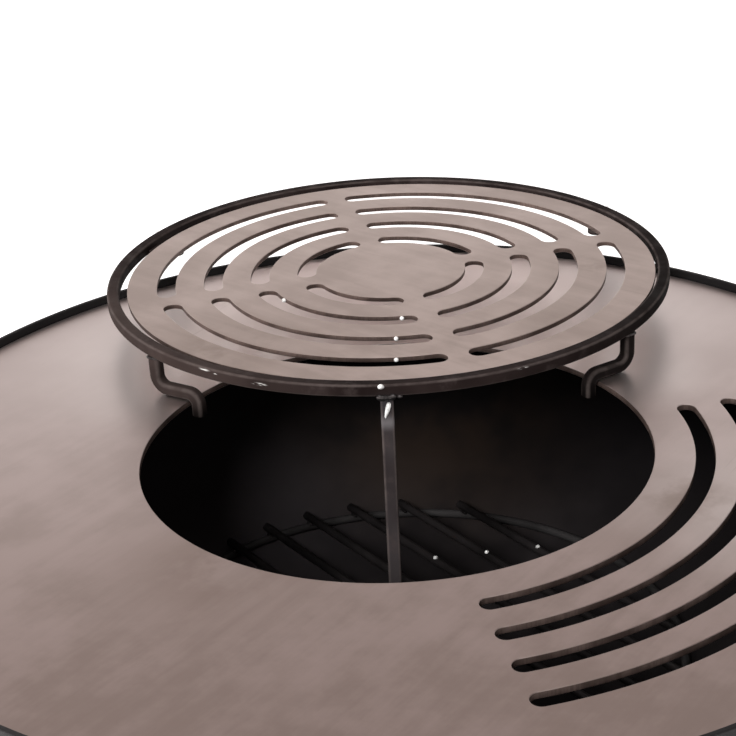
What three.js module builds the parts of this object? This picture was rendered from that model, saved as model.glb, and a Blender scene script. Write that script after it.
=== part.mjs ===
// A garden fire pit: a dished steel bowl on a pedestal, a loose round cooking plate with curved slots,
// a swivelling raised grill that hangs over the plate, and a fire grate of round rods inside the bowl.
// Millimetres, +Z up. The origin is on the pit's axis, at the underside of the base plate.
import * as THREE from "three";

// Driving dimensions.
const GAP = 0.3; // left between pieces that touch or are welded together
const BAR = 10; // square bar of the raised grill
const BAR_CORNER = 0.9; // rolled corners of the square bar, as a chamfer
const WALL = 4; // sheet of the bowl, its collar and the pedestal

// Cooking plate.
const PLATE_TOP = 750;
const PLATE_THICKNESS = 5;
const PLATE_RADIUS = 398;
const HOLE_RADIUS = 188;
const PLATE_SLOT_WIDTH = 14;
const PLATE_SLOT_FIRST = 224; // mid radius of the innermost slot
const PLATE_SLOT_PITCH = 35;
const PLATE_SLOTS = 4;
const PLATE_SLOT_FROM = -78; // degrees, tip to tip
const PLATE_SLOT_TO = 12.1;

// Bowl.
const COLLAR_RADIUS = 400; // inside
const COLLAR_ABOVE_PLATE = 6;
const COLLAR_BELOW_PLATE = 44;
const DISH_RADIUS = 527.5; // inside radius of the dished bottom's sphere
const LUG = { count: 4, first: 45, inner: 374, outer: 399, width: 40, thickness: 5, corner: 8 };

// Pedestal.
const BASE_RADIUS = 250;
const BASE_THICKNESS = 8;
const TUBE_RADIUS = 110;
const RIB = { count: 4, first: 45, length: 90, height: 140, thickness: 6, nose: 12 };

// Raised grill.
const RING_CENTRE_Y = 259;
const RING_RADIUS = 240; // outside
const RING_ABOVE_PLATE = 42; // to the ring's top face
const LEG_SPREAD = 52.4; // degrees of each short leg from the post, round the ring
const POST_SHIFT = -5.3; // the post is welded a little off the grill's middle line
const POST_FOOT_SHIFT = -6; // and its foot stands off the pit's axis, in a wide socket
const POST_BEND = 12; // setback of the bend above the post's upright end
const HEEL_BEND = 10; // bend radius of a leg's heel, on the bar's centre line
const HOOK_BEND = 7.5;
const HOOK_CLEARANCE = 2.5; // between a hook and the edge of the plate's hole
const HOOK_DEPTH = 12; // of the hook's end below the plate's top
const TAB = { angles: [23.5, 157, 270], width: 16, tip: 200, thickness: 4 };

// Pivot at the bottom of the bowl, where the post stands and turns.
const SOCKET_BORE = 13.5; // radius
const SOCKET_WALL = 3.5;
const SOCKET_HEIGHT = 32;
const POST_STRAIGHT = 72; // length of the upright lower end of the post

// Grill disc, loose in the ring.
const DISC_RADIUS = 225;
const DISC_THICKNESS = 4;
const DISC_SHIFT = [2.5, -3.7]; // how far it lies off the ring's centre
const DISC_TURN = 14.6; // degrees of its spokes
const DISC_SLOT_WIDTH = 16;
const DISC_SLOT_FIRST = 72;
const DISC_SLOT_PITCH = 40;
const DISC_RINGS = 4;
const DISC_SPOKES = 4;
const SPOKE_WIDTH = 17; // between the tips of two slots

// Fire grate, lying in the bowl.
const FIRE_RING_RADIUS = 215;
const FIRE_ROD = 7; // diameter of the rods and of the ring under them
const FIRE_BARS = 10;
const FIRE_BAR_PITCH = 38;
const FIRE_BAR_ANGLE = -54; // degrees, direction of the rods
const FIRE_BAR_SHIFT = -2.2; // how far the rods lie to one side of the ring's middle
const FIRE_BAR_OVERHANG = 9; // past the ring's centre line, at each end

const ROUND = 96; // sides of the large circles
const CHORD = 13; // length of the straight pieces of a curved slot
const DISH_SIDES = 80;
const DISH_STEPS = 12; // of each face, from the axis to the collar
const TUBE_SIDES = 64;
const SOCKET_SIDES = 32;
const BEND_HANDLE = 0.448; // makes a cubic curve follow a quarter circle, measured from its corner
const LEG_STEPS = 44; // sections along a bent leg
const POST_STEPS = 24;
const SLOT_END_STEPS = 8; // in the half circle of a slot's end
const FIRE_ROD_SIDES = 12;
const FIRE_RING_SIDES = [8, 64]; // round the rod and round the ring
const RING_TOP = PLATE_TOP + RING_ABOVE_PLATE;
const RING_BOTTOM = RING_TOP - BAR;
const RING_MIDDLE = RING_RADIUS - BAR / 2;
const COLLAR_BOTTOM = PLATE_TOP - COLLAR_BELOW_PLATE;
const DISH_CENTRE = COLLAR_BOTTOM + Math.sqrt(DISH_RADIUS ** 2 - COLLAR_RADIUS ** 2);
const DISH_FLOOR = DISH_CENTRE - DISH_RADIUS;

const STEEL = { color: 0xb0a49c, roughness: 0.42, metalness: 1 };
const DARK_STEEL = { color: 0x4a4443, roughness: 0.5, metalness: 0.9 };
const BLACK_PAINT = { color: 0x121212, roughness: 0.65, metalness: 0.2 };
const SOOTY_STEEL = { color: 0x2c2928, roughness: 0.6, metalness: 0.8 };

const part = new THREE.Group();

function add(name, geometry, look, place) {
  const mesh = new THREE.Mesh(geometry, new THREE.MeshStandardMaterial(look));
  mesh.name = name;
  if (place) place(mesh);
  part.add(mesh);
}

const radians = THREE.MathUtils.degToRad;

// Points along an arc, angles in radians, from one end to the other.
function arc(x, y, radius, from, to, steps) {
  const points = [];
  for (let i = 0; i <= steps; i++) {
    const angle = from + ((to - from) * i) / steps;
    points.push(new THREE.Vector2(x + radius * Math.cos(angle), y + radius * Math.sin(angle)));
  }
  return points;
}

function circle(radius, sides) {
  return arc(0, 0, radius, 0, 2 * Math.PI, sides).slice(0, -1);
}

// Outline of a curved slot with round ends, given by its mid radius and the angles of its end centres.
function slotOutline(radius, width, from, to) {
  const half = width / 2;
  const steps = Math.ceil((radius * (to - from)) / CHORD);
  const endAt = (angle) => [radius * Math.cos(angle), radius * Math.sin(angle)];
  return [
    ...arc(0, 0, radius + half, from, to, steps),
    ...arc(...endAt(to), half, to, to + Math.PI, SLOT_END_STEPS).slice(1, -1),
    ...arc(0, 0, radius - half, to, from, steps),
    ...arc(...endAt(from), half, from - Math.PI, from, SLOT_END_STEPS).slice(1, -1),
  ];
}

// A flat sheet with cut-outs, standing on z.
function sheet(outline, holes, thickness, z) {
  const shape = new THREE.Shape(outline);
  shape.holes = holes.map((points) => new THREE.Path(points));
  const geometry = new THREE.ExtrudeGeometry(shape, { depth: thickness, bevelEnabled: false });
  return geometry.translate(0, 0, z);
}

// A profile of [radius, z] points turned round the Z axis.
function turned(profile, sides) {
  const points = profile.map(([radius, z]) => new THREE.Vector2(radius, z));
  return new THREE.LatheGeometry(points, sides).rotateX(Math.PI / 2);
}

// A ring of rectangular section; corner is the chamfer of its edges.
function hoop(inner, outer, bottom, top, corner = 0) {
  const profile = corner
    ? [
        [inner, bottom + corner],
        [inner + corner, bottom],
        [outer - corner, bottom],
        [outer, bottom + corner],
        [outer, top - corner],
        [outer - corner, top],
        [inner + corner, top],
        [inner, top - corner],
      ]
    : [
        [inner, bottom],
        [outer, bottom],
        [outer, top],
        [inner, top],
      ];
  return turned([...profile, profile[0]], ROUND);
}

// Section of the square bar, with its rolled corners.
function barSection() {
  const a = BAR / 2;
  const b = a - BAR_CORNER;
  const corners = [
    [a, -b],
    [a, b],
    [b, a],
    [-b, a],
    [-a, b],
    [-a, -b],
    [-b, -a],
    [b, -a],
  ];
  return new THREE.Shape(corners.map(([x, y]) => new THREE.Vector2(x, y)));
}

function bentBar(path, steps) {
  const options = { steps, extrudePath: path, bevelEnabled: false };
  return new THREE.ExtrudeGeometry(barSection(), options);
}

// A path of straight runs joined by bends, through [x, z] points in the XZ plane.
function bentPath(points, bends) {
  const corners = points.map(([x, z]) => new THREE.Vector3(x, 0, z));
  const path = new THREE.CurvePath();
  let start = corners[0];
  for (let i = 1; i < corners.length - 1; i++) {
    const before = corners[i - 1].clone().sub(corners[i]).normalize();
    const after = corners[i + 1].clone().sub(corners[i]).normalize();
    const setback = bends[i - 1] / Math.tan(before.angleTo(after) / 2);
    const bendStart = corners[i].clone().addScaledVector(before, setback);
    const bendEnd = corners[i].clone().addScaledVector(after, setback);
    const handle = setback * BEND_HANDLE;
    path.add(new THREE.LineCurve3(start, bendStart));
    path.add(
      new THREE.CubicBezierCurve3(
        bendStart,
        corners[i].clone().addScaledVector(before, handle),
        corners[i].clone().addScaledVector(after, handle),
        bendEnd,
      ),
    );
    start = bendEnd;
  }
  path.add(new THREE.LineCurve3(start, corners[corners.length - 1]));
  return path;
}

function addPedestal() {
  add("base_plate", sheet(circle(BASE_RADIUS, ROUND), [], BASE_THICKNESS, 0), BLACK_PAINT);

  // The tube's top edge stops just under the dish, which dips into it.
  const outside = DISH_RADIUS + WALL;
  const inner = TUBE_RADIUS - WALL;
  const tubeTop = DISH_CENTRE - Math.sqrt(outside ** 2 - inner ** 2) - GAP;
  const tubeBottom = BASE_THICKNESS + GAP;
  const wall = [
    [inner, tubeBottom],
    [TUBE_RADIUS, tubeBottom],
    [TUBE_RADIUS, tubeTop],
    [inner, tubeTop],
    [inner, tubeBottom],
  ];
  add("pedestal_tube", turned(wall, TUBE_SIDES), BLACK_PAINT);

  const rib = new THREE.Shape([
    new THREE.Vector2(0, 0),
    new THREE.Vector2(RIB.length, 0),
    new THREE.Vector2(RIB.length, RIB.nose),
    new THREE.Vector2(RIB.nose, RIB.height),
    new THREE.Vector2(0, RIB.height),
  ]);
  for (let i = 0; i < RIB.count; i++) {
    const geometry = new THREE.ExtrudeGeometry(rib, { depth: RIB.thickness, bevelEnabled: false });
    geometry.translate(TUBE_RADIUS + GAP, 0, -RIB.thickness / 2);
    geometry.rotateX(Math.PI / 2);
    add(`base_rib_${i + 1}`, geometry, BLACK_PAINT, (mesh) => {
      mesh.position.z = BASE_THICKNESS + GAP;
      mesh.rotation.z = radians(RIB.first + (i * 360) / RIB.count);
    });
  }
}

function addBowl() {
  // Both faces of the dish are arcs about one centre, from the axis up to the collar.
  const rim = COLLAR_BOTTOM - GAP;
  const face = (radius) => {
    const edge = Math.acos((DISH_CENTRE - rim) / radius);
    return Array.from({ length: DISH_STEPS + 1 }, (_, i) => {
      const angle = (edge * i) / DISH_STEPS;
      return [radius * Math.sin(angle), DISH_CENTRE - radius * Math.cos(angle)];
    });
  };
  const outside = face(DISH_RADIUS + WALL);
  const inside = face(DISH_RADIUS).reverse();
  outside[0][0] = 0;
  inside[DISH_STEPS][0] = 0;
  add("bowl_dish", turned([...outside, ...inside], DISH_SIDES), BLACK_PAINT);

  const collarTop = PLATE_TOP + COLLAR_ABOVE_PLATE;
  const collar = hoop(COLLAR_RADIUS, COLLAR_RADIUS + WALL, COLLAR_BOTTOM, collarTop);
  add("bowl_collar", collar, BLACK_PAINT);

  const half = LUG.width / 2;
  const outline = [
    new THREE.Vector2(LUG.outer, -half),
    new THREE.Vector2(LUG.outer, half),
    ...arc(LUG.inner + LUG.corner, half - LUG.corner, LUG.corner, Math.PI / 2, Math.PI, 4),
    ...arc(LUG.inner + LUG.corner, LUG.corner - half, LUG.corner, Math.PI, 1.5 * Math.PI, 4),
  ];
  const lugBottom = PLATE_TOP - PLATE_THICKNESS - GAP - LUG.thickness;
  for (let i = 0; i < LUG.count; i++) {
    add(`plate_lug_${i + 1}`, sheet(outline, [], LUG.thickness, lugBottom), BLACK_PAINT, (mesh) => {
      mesh.rotation.z = radians(LUG.first + (i * 360) / LUG.count);
    });
  }

  // The socket stands on the innermost facet of the dish, whose floor is lowest on the axis.
  const outer = SOCKET_BORE + SOCKET_WALL;
  const facet = Math.acos((DISH_CENTRE - rim) / DISH_RADIUS) / DISH_STEPS;
  const foot = DISH_FLOOR + outer * Math.tan(facet / 2) + GAP;
  const wall = [
    [SOCKET_BORE, foot],
    [outer, foot],
    [outer, foot + SOCKET_HEIGHT],
    [SOCKET_BORE, foot + SOCKET_HEIGHT],
    [SOCKET_BORE, foot],
  ];
  add("pivot_socket", turned(wall, SOCKET_SIDES), SOOTY_STEEL);
}

function addCookingPlate() {
  const holes = [circle(HOLE_RADIUS, ROUND)];
  for (let i = 0; i < PLATE_SLOTS; i++) {
    const radius = PLATE_SLOT_FIRST + i * PLATE_SLOT_PITCH;
    const roundEnd = PLATE_SLOT_WIDTH / 2 / radius;
    const from = radians(PLATE_SLOT_FROM) + roundEnd;
    const to = radians(PLATE_SLOT_TO) - roundEnd;
    holes.push(slotOutline(radius, PLATE_SLOT_WIDTH, from, to));
  }
  const bottom = PLATE_TOP - PLATE_THICKNESS;
  const geometry = sheet(circle(PLATE_RADIUS, ROUND), holes, PLATE_THICKNESS, bottom);
  add("cooking_plate", geometry, STEEL);
}

function addRaisedGrill() {
  const inner = RING_RADIUS - BAR;
  add("riser_ring", hoop(inner, RING_RADIUS, RING_BOTTOM, RING_TOP, BAR_CORNER), DARK_STEEL, (mesh) => {
    mesh.position.y = RING_CENTRE_Y;
  });

  // A short leg drops from the ring, turns towards the pit's axis along the plate and hooks into the hole.
  const spread = radians(LEG_SPREAD);
  const legX = RING_MIDDLE * Math.sin(spread);
  const legY = RING_CENTRE_Y - RING_MIDDLE * Math.cos(spread);
  const heel = Math.hypot(legX, legY);
  const hook = HOLE_RADIUS - HOOK_CLEARANCE - BAR / 2;
  const foot = PLATE_TOP + GAP + BAR / 2;
  const stations = [
    [heel, RING_BOTTOM - GAP],
    [heel, foot],
    [hook, foot],
    [hook, PLATE_TOP - HOOK_DEPTH],
  ];
  const legPath = bentPath(stations, [HEEL_BEND, HOOK_BEND]);
  const sides = { left: Math.atan2(legY, -legX), right: Math.atan2(legY, legX) };
  for (const [side, angle] of Object.entries(sides)) {
    add(`riser_leg_${side}`, bentBar(legPath, LEG_STEPS), DARK_STEEL, (mesh) => {
      mesh.rotation.z = angle;
    });
  }

  // The post rakes from under the ring to the pit's axis and stands upright in the socket.
  const postY = RING_CENTRE_Y - Math.sqrt(RING_MIDDLE ** 2 - POST_SHIFT ** 2);
  const head = new THREE.Vector3(POST_SHIFT, postY, RING_BOTTOM - 3 * GAP);
  const postFoot = new THREE.Vector3(POST_FOOT_SHIFT, 0, DISH_FLOOR + 2 * GAP);
  const up = new THREE.Vector3(0, 0, 1);
  const knee = postFoot.clone().addScaledVector(up, POST_STRAIGHT);
  const rake = head.clone().sub(knee).normalize();
  const bendStart = knee.clone().addScaledVector(up, -POST_BEND);
  const bendEnd = knee.clone().addScaledVector(rake, POST_BEND);
  const postPath = new THREE.CurvePath();
  postPath.add(new THREE.LineCurve3(postFoot, bendStart));
  postPath.add(new THREE.QuadraticBezierCurve3(bendStart, knee, bendEnd));
  postPath.add(new THREE.LineCurve3(bendEnd, head));
  add("riser_post", bentBar(postPath, POST_STEPS), DARK_STEEL);

  // Tabs with round tips, inside the ring, carry the disc.
  const half = TAB.width / 2;
  const weldedEnd = Math.sqrt((inner - GAP) ** 2 - half ** 2);
  const outline = [
    new THREE.Vector2(weldedEnd, -half),
    new THREE.Vector2(weldedEnd, half),
    ...arc(TAB.tip + half, 0, half, Math.PI / 2, 1.5 * Math.PI, 10),
  ];
  TAB.angles.forEach((angle, i) => {
    add(`disc_tab_${i + 1}`, sheet(outline, [], TAB.thickness, RING_BOTTOM), DARK_STEEL, (mesh) => {
      mesh.position.y = RING_CENTRE_Y;
      mesh.rotation.z = radians(angle);
    });
  });
}

function addGrillDisc() {
  const holes = [];
  for (let ring = 0; ring < DISC_RINGS; ring++) {
    const radius = DISC_SLOT_FIRST + ring * DISC_SLOT_PITCH;
    // Half the spoke and the slot's round end, as an angle.
    const margin = Math.asin((SPOKE_WIDTH / 2 + DISC_SLOT_WIDTH / 2) / radius);
    for (let spoke = 0; spoke < DISC_SPOKES; spoke++) {
      const from = radians(DISC_TURN + (spoke * 360) / DISC_SPOKES) + margin;
      const to = radians(DISC_TURN + ((spoke + 1) * 360) / DISC_SPOKES) - margin;
      holes.push(slotOutline(radius, DISC_SLOT_WIDTH, from, to));
    }
  }
  const bottom = RING_BOTTOM + TAB.thickness + GAP;
  add("grill_disc", sheet(circle(DISC_RADIUS, ROUND), holes, DISC_THICKNESS, bottom), STEEL, (mesh) => {
    mesh.position.set(DISC_SHIFT[0], RING_CENTRE_Y + DISC_SHIFT[1], 0);
  });
}

function addFireGrate() {
  // The rod ring settles where it meets the dish.
  const reach = DISH_RADIUS - FIRE_ROD / 2 - GAP;
  const ringZ = DISH_CENTRE - Math.sqrt(reach ** 2 - FIRE_RING_RADIUS ** 2);
  const ring = new THREE.TorusGeometry(FIRE_RING_RADIUS, FIRE_ROD / 2, ...FIRE_RING_SIDES);
  add("fire_grate_ring", ring, SOOTY_STEEL, (mesh) => {
    mesh.position.z = ringZ;
  });
  for (let i = 0; i < FIRE_BARS; i++) {
    const offset = (i - (FIRE_BARS - 1) / 2) * FIRE_BAR_PITCH + FIRE_BAR_SHIFT;
    const half = Math.sqrt(FIRE_RING_RADIUS ** 2 - offset ** 2) + FIRE_BAR_OVERHANG;
    const geometry = new THREE.CylinderGeometry(FIRE_ROD / 2, FIRE_ROD / 2, 2 * half, FIRE_ROD_SIDES);
    geometry.rotateZ(Math.PI / 2);
    geometry.translate(0, offset, ringZ + FIRE_ROD + GAP);
    add(`fire_grate_bar_${String(i + 1).padStart(2, "0")}`, geometry, SOOTY_STEEL, (mesh) => {
      mesh.rotation.z = radians(FIRE_BAR_ANGLE);
    });
  }
}

addPedestal();
addBowl();
addCookingPlate();
addRaisedGrill();
addGrillDisc();
addFireGrate();

export default part;
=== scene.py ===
"""Looks of a garden fire pit: bowl on a pedestal, slotted cooking plate, raised grill, fire grate.

Constants are millimetres, in the frame of the CAD part. Meshes are made in metres.
"""

import math
import random

import bmesh
import bpy
from mathutils import Matrix, Vector


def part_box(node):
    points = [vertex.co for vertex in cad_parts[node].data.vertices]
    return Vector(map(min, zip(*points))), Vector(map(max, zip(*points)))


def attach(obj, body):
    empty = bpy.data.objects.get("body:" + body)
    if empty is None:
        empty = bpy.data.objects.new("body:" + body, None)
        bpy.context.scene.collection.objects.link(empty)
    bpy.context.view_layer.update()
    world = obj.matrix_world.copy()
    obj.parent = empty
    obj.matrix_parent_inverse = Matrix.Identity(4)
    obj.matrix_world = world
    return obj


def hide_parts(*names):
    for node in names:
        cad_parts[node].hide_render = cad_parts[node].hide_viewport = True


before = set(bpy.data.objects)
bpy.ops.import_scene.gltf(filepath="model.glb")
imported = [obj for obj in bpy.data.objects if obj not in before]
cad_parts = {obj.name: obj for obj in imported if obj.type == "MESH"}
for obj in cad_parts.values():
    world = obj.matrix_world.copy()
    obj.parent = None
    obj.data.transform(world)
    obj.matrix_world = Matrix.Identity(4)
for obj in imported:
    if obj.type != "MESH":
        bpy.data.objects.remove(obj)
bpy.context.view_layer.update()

MM = 0.001
TAU = 2 * math.pi


def lowest(node):
    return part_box(node)[0] / MM


def highest(node):
    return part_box(node)[1] / MM


# Heights and sizes that the CAD boxes give.
PLATE_TOP = highest("cooking_plate").z
PLATE_BOTTOM = lowest("cooking_plate").z
PLATE_RADIUS = highest("cooking_plate").x
RING_TOP = highest("riser_ring").z
RING_BOTTOM = lowest("riser_ring").z
RING_RADIUS = highest("riser_ring").x
RING_CENTRE_Y = (highest("riser_ring").y + lowest("riser_ring").y) / 2
DISC_TOP = highest("grill_disc").z
DISC_BOTTOM = lowest("grill_disc").z
DISC_RADIUS = (highest("grill_disc").x - lowest("grill_disc").x) / 2
DISC_CENTRE = (highest("grill_disc") + lowest("grill_disc")) / 2
COLLAR_TOP = highest("bowl_collar").z
COLLAR_BOTTOM = lowest("bowl_collar").z
COLLAR_OUTSIDE = highest("bowl_collar").x
TUBE_TOP = highest("pedestal_tube").z
TUBE_RADIUS = highest("pedestal_tube").x
BASE_RADIUS = highest("base_plate").x
BASE_TOP = highest("base_plate").z
SOCKET_TOP = highest("pivot_socket").z
SOCKET_FOOT = lowest("pivot_socket").z
SOCKET_RADIUS = highest("pivot_socket").x
FIRE_RING_Z = (highest("fire_grate_ring").z + lowest("fire_grate_ring").z) / 2
DISH_BOTTOM = lowest("bowl_dish").z
DISH_RIM = highest("bowl_dish").z

# Sizes inside the pieces, as in the CAD part.
BAR = 10
WALL = 4
SEAM = 0.3
SOCKET_WALL = 3.5
HOLE_RADIUS = 188
PLATE_SLOTS = {"width": 14, "first": 224, "pitch": 35, "count": 4, "from": -78, "to": 12.1}
DISC_SLOTS = {"width": 16, "first": 72, "pitch": 40, "rings": 4, "spokes": 4, "turn": 14.6, "spoke": 17}
DISH_RADIUS = 527.5
LUG = {"count": 4, "first": 45, "inner": 374, "outer": 399.6, "width": 40, "thickness": 5, "corner": 8}
RIB = {"count": 4, "first": 45, "length": 90, "height": 140, "thickness": 6, "nose": 12}
LEG_SPREAD = 52.4
HEEL_BEND = 10
HOOK_BEND = 7.5
HOOK_CLEARANCE = 2.5
HOOK_DEPTH = 12
POST_HEAD = (-5.3, 24.06)
POST_FOOT = (-6, 0)
POST_STRAIGHT = 72
POST_BEND = 110
TAB = {"angles": (23.5, 157, 270), "width": 16, "tip": 200, "thickness": 4}
FIRE_RING_RADIUS = 215
FIRE_ROD = 7
FIRE_BARS = 10
FIRE_BAR_PITCH = 38
FIRE_BAR_ANGLE = -54
FIRE_BAR_SHIFT = -2.2
FIRE_BAR_OVERHANG = 9

# Looks of the bars: the round of their corners.
BAR_CORNER = 2.0
LEG_CORNER = 3.2

# Pale marks on the ring's front: azimuth in degrees, reach, height under its top.
PALE_RING_MARKS = ((-126.6, 7, -2.2), (-123.9, 3.5, -3.2), (-114.6, 8, -4.6), (-66.1, 6, -1.5))

# Patches of colour, as middle and reach. On the bars: painted light at the left, painted shade at the right.
PAINTED_LIGHT_ON_BARS = ((-210, 140, RING_TOP), 230)
PAINTED_SHADE_ON_BARS = ((215, 190, RING_TOP), 240)
# On the inside of the bowl: a brown patch at the back, painted light at the left, painted shade at the
# right.
BROWN_PATCH_IN_BOWL = ((60, 330, 640), 210)
PAINTED_LIGHT_IN_BOWL = ((-320, 110, 640), 350)
PAINTED_SHADE_IN_BOWL = ((250, 300, 640), 270)

# Drops of weld metal on the inner walls of the disc's slots, near white as painted glints: ring of slots,
# azimuth.
DISC_GLINT_DROPS = ((1, -86.1), (2, -89.4), (3, -89.8), (1, -149.0))
# Drops on the fire rods, near white as painted glints: rod, place along it from its middle.
ROD_GLINT_DROPS = ((7, -79.7), (8, -58.2), (9, -36.4))
# Weld drops on the ring's upper edge, near white as painted glints: azimuth, and radii along x, y and z.
RING_GLINT_DROPS = ((-92.2, (2.7, 2.7, 1.9)), (31.2, (2.6, 2.6, 1.0)), (150.9, (2.6, 2.6, 1.0)))
# Weld metal that ran down the post's front, near white as a painted glint: shift to the side, height, and
# radius.
POST_GLINT_RUN = (
    (1.2, 776.3, 1.75),
    (0.9, 774.4, 2.0),
    (0.3, 772.2, 1.9),
    (-0.5, 769.8, 1.5),
    (-1.2, 767.6, 1.0),
    (-1.6, 766.0, 0.55),
)
# The raked part of the post falls back by so much between the ring's underside and its bend.
POST_RAKE = {"back": 24, "bend_z": 595}

# The floor, in metres, and how brightly it glows.
FLOOR_REACH = 40
FLOOR_GLOW = 0.65

dice = random.Random(7)


# ---------------------------------------------------------------- materials


class Shader:
    """A Principled material whose nodes are added one call at a time."""

    def __init__(self, name):
        self.material = bpy.data.materials.new(name)
        self.material.use_nodes = True
        self.tree = self.material.node_tree
        self.tree.nodes.clear()
        output = self.tree.nodes.new("ShaderNodeOutputMaterial")
        self.surface = self.tree.nodes.new("ShaderNodeBsdfPrincipled")
        self.tree.links.new(self.surface.outputs[0], output.inputs[0])
        self.place = self.tree.nodes.new("ShaderNodeTexCoord").outputs["Object"]

    def put(self, socket, value):
        if isinstance(value, bpy.types.NodeSocket):
            self.tree.links.new(value, socket)
        elif isinstance(value, tuple) and len(value) == 3 and socket.type == "RGBA":
            socket.default_value = (*value, 1)
        else:
            socket.default_value = value

    def math(self, operation, first, second=0.0):
        node = self.tree.nodes.new("ShaderNodeMath")
        node.operation = operation
        self.put(node.inputs[0], first)
        self.put(node.inputs[1], second)
        return node.outputs[0]

    def times(self, first, second):
        return self.math("MULTIPLY", first, second)

    def noise(self, scale, detail=2.0, roughness=0.5, stretch=(1, 1, 1), turn=0.0, shift=(0, 0, 0)):
        turned_place = self.tree.nodes.new("ShaderNodeMapping")
        turned_place.vector_type = "POINT"
        turned_place.inputs["Rotation"].default_value = (0, 0, math.radians(-turn))
        self.put(turned_place.inputs["Vector"], self.place)
        stretched = self.tree.nodes.new("ShaderNodeMapping")
        stretched.inputs["Scale"].default_value = stretch
        stretched.inputs["Location"].default_value = shift
        self.put(stretched.inputs["Vector"], turned_place.outputs[0])
        node = self.tree.nodes.new("ShaderNodeTexNoise")
        node.inputs["Scale"].default_value = scale
        node.inputs["Detail"].default_value = detail
        node.inputs["Roughness"].default_value = roughness
        self.put(node.inputs["Vector"], stretched.outputs[0])
        return node.outputs["Fac"]

    def remap(self, value, low, high, out_low=0.0, out_high=1.0):
        node = self.tree.nodes.new("ShaderNodeMapRange")
        node.interpolation_type = "SMOOTHSTEP"
        self.put(node.inputs["Value"], value)
        node.inputs["From Min"].default_value = low
        node.inputs["From Max"].default_value = high
        node.inputs["To Min"].default_value = out_low
        node.inputs["To Max"].default_value = out_high
        return node.outputs[0]

    def mix(self, share, first, second):
        node = self.tree.nodes.new("ShaderNodeMix")
        node.data_type = "RGBA"
        self.put(node.inputs[0], share)
        self.put(node.inputs[6], first)
        self.put(node.inputs[7], second)
        return node.outputs[2]

    def attribute(self, name):
        node = self.tree.nodes.new("ShaderNodeAttribute")
        node.attribute_name = name
        return node.outputs["Fac"]

    def near(self, point, reach, stretch=(1, 1, 1)):
        """1 at a point in millimetres, falling to 0 at reach."""
        moved = self.tree.nodes.new("ShaderNodeVectorMath")
        moved.operation = "SUBTRACT"
        self.put(moved.inputs[0], self.place)
        moved.inputs[1].default_value = Vector(point) * MM
        scaled = self.tree.nodes.new("ShaderNodeVectorMath")
        scaled.operation = "MULTIPLY"
        self.put(scaled.inputs[0], moved.outputs[0])
        scaled.inputs[1].default_value = stretch
        length = self.tree.nodes.new("ShaderNodeVectorMath")
        length.operation = "LENGTH"
        self.put(length.inputs[0], scaled.outputs[0])
        return self.remap(length.outputs["Value"], 0, reach * MM, 1, 0)

    def axis(self, name):
        node = self.tree.nodes.new("ShaderNodeSeparateXYZ")
        self.put(node.inputs[0], self.place)
        return node.outputs[name]

    def bump(self, height, strength, distance, below=None):
        node = self.tree.nodes.new("ShaderNodeBump")
        node.inputs["Strength"].default_value = strength
        node.inputs["Distance"].default_value = distance * MM
        self.put(node.inputs["Height"], height)
        if below:
            self.put(node.inputs["Normal"], below)
        return node.outputs[0]

    def finish(self, colour, roughness, normal=None, metallic=1.0, specular=0.5):
        self.put(self.surface.inputs["Base Color"], colour)
        self.put(self.surface.inputs["Roughness"], roughness)
        self.put(self.surface.inputs["Metallic"], metallic)
        if normal:
            self.put(self.surface.inputs["Normal"], normal)
        self.surface.inputs["Specular IOR Level"].default_value = specular
        return self.material


def sheet_steel(name, light, dark, brown, back, painted_light_share, grain, stains, shift, painted_light_patches=()):
    """Raw ground steel: grain along one direction, cloudy tint, scratches, brown stains, bright edges.

    The colour goes over to back from front to back, painted light where the sheet mirrors the bright studio.
    painted_light_patches and stains are patches: point, reach, strength.
    """
    s = Shader(name)
    clouds = s.noise(5, 4, 0.55, shift=shift)
    small_clouds = s.noise(22, 4, 0.6, shift=shift)
    streaks = s.noise(9, 3, 0.6, (1, 9, 1), grain, shift)
    fine = s.noise(40, 3, 0.7, (1, 40, 1), grain, shift)
    blend = s.math("ADD", s.times(clouds, 0.40), s.times(streaks, 0.22))
    blend = s.math("ADD", blend, s.times(small_clouds, 0.38))
    colour = s.mix(s.remap(blend, 0.40, 0.60), dark, light)
    # Painted light: the colour goes lighter towards the back, where the sheet mirrors the bright studio.
    painted_light_towards_back = s.remap(s.axis("Y"), -0.30, 0.32)
    colour = s.mix(s.times(painted_light_towards_back, painted_light_share), colour, back)
    # Painted light: lighter patches on the sheet.
    for point, reach, strength in painted_light_patches:
        spot = s.times(s.near(point, reach, (1, 1, 0)), strength)
        colour = s.mix(spot, colour, (1.0, 0.94, 0.92))
    for point, reach, strength in stains:
        spot = s.times(s.near(point, reach), s.remap(small_clouds, 0.35, 0.62))
        colour = s.mix(s.times(spot, strength), colour, brown)
    flecks = s.remap(s.noise(60, 4, 0.7, (1, 6, 1), grain, shift), 0.66, 0.76)
    colour = s.mix(s.times(flecks, 0.25), colour, brown)
    scratch = s.remap(s.noise(5, 2, 0.5, (1, 60, 1), grain + 3, shift), 0.68, 0.74)
    scratch = s.times(scratch, s.remap(s.noise(7, 2, 0.5, shift=shift), 0.5, 0.65))
    colour = s.mix(s.times(scratch, 0.3), colour, dark)
    edge = s.attribute("wear")
    colour = s.mix(s.times(edge, 0.25), colour, (0.60, 0.52, 0.48))
    rough = s.remap(blend, 0.3, 0.7, 0.40, 0.32)
    rough = s.math("ADD", rough, s.times(fine, 0.06))
    normal = s.bump(fine, 0.10, 0.04)
    normal = s.bump(clouds, 0.4, 0.3, normal)
    return s.finish(colour, rough, normal)


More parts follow.
